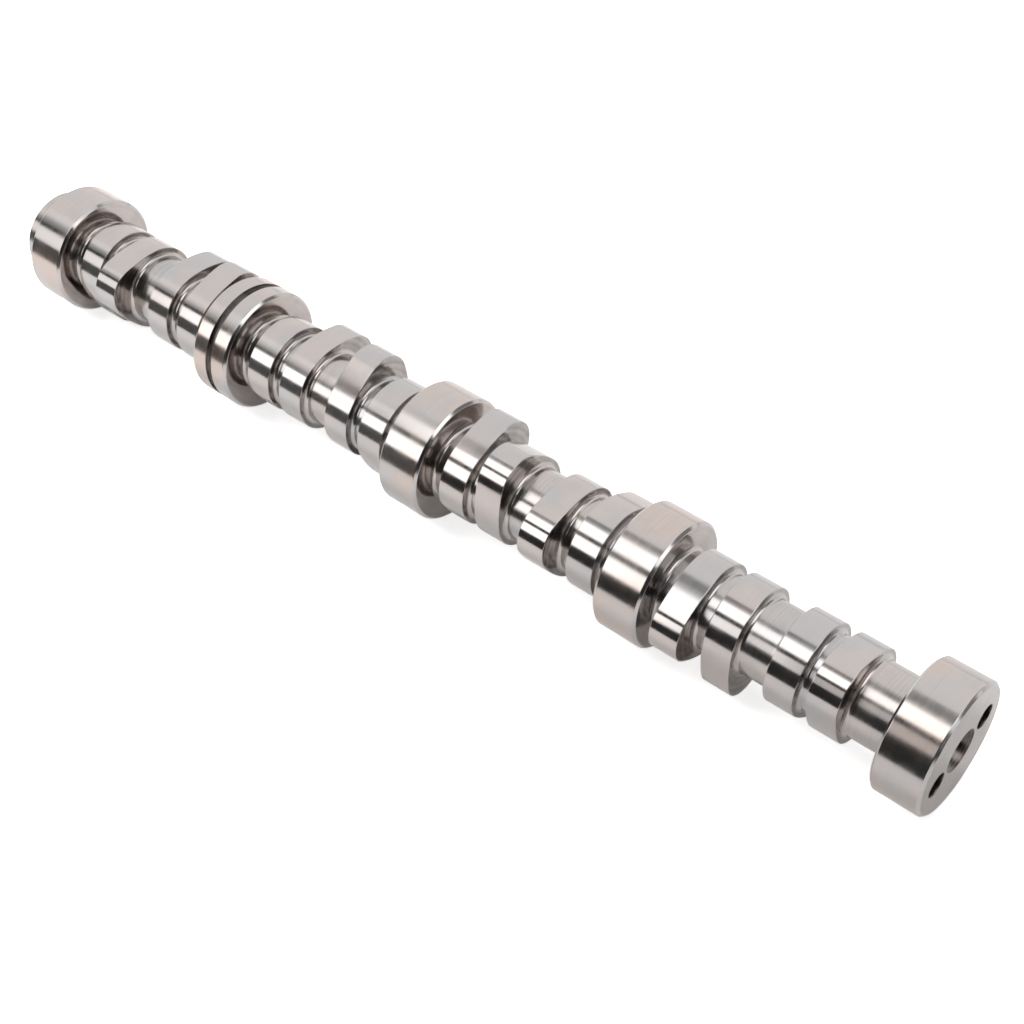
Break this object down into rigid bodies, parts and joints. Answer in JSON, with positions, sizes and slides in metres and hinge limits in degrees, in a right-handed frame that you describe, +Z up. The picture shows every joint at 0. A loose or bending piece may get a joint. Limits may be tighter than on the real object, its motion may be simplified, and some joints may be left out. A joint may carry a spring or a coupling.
{
  "type": "camshaft",
  "caption": "One-piece camshaft for an overhead-valve V engine: ground bearing journals, eccentric lobes and a drilled drive end that takes a timing sprocket.",
  "frame": {"origin": "on the floor under the middle of the shaft's length, straight below its axis", "axes": "+X along the shaft axis towards the drive end, +Z up, journals lying on z = 0"},
  "size_m": [0.49, 0.055, 0.055],
  "materials": {
    "ground_steel": "ground and polished"
  },
  "bodies": {
    "root": {"camshaft": "ground_steel"}
  },
  "joints": []
}
